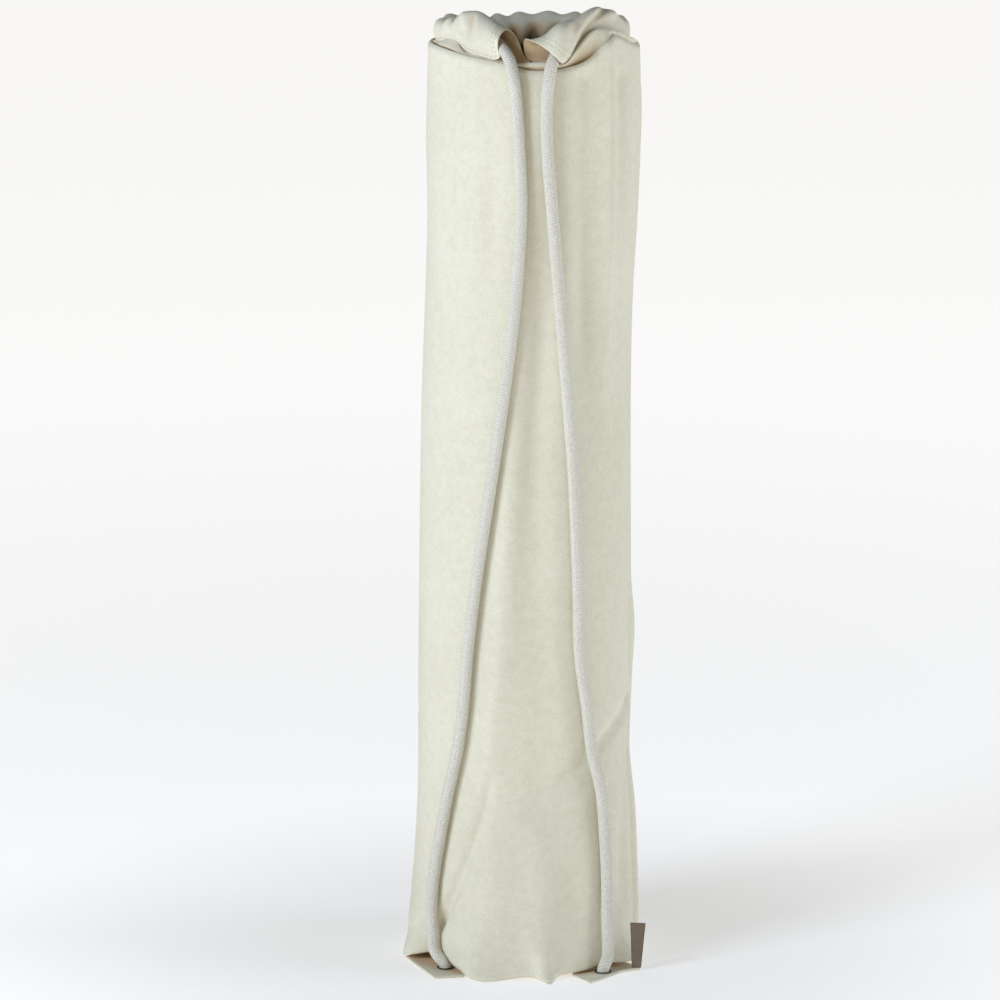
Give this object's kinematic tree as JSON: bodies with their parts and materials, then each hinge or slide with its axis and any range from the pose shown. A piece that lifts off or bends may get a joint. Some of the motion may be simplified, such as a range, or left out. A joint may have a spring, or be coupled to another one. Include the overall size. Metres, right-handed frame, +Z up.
{
  "type": "yoga mat bag",
  "caption": "Upright drawstring bag for a rolled yoga mat: a tall round canvas tube with a gathered cord channel at the mouth and two free cord runs down the front to eyelets in the bottom corners.",
  "frame": {"origin": "on the floor that the bag stands on, at the bottom centre of its box without the two free cord runs", "axes": "+Z up along the bag, which is its longest extent; the front with the two free cord runs faces -Y; +X is the viewer's right, on the label's side"},
  "size_m": [0.1795, 0.1801, 0.7137],
  "materials": {
    "canvas": "matte",
    "canvas_hem": "matte",
    "cord": "matte",
    "eyelet": "satin",
    "label": "matte"
  },
  "bodies": {
    "root": {"bag_tube": "canvas", "cord_channel": "canvas_hem", "cord_in_channel": "cord", "cord_left": "cord", "cord_right": "cord", "ear_left": "canvas_hem", "ear_right": "canvas_hem", "eyelet_left": "eyelet", "eyelet_right": "eyelet", "side_label": "label"}
  },
  "joints": []
}
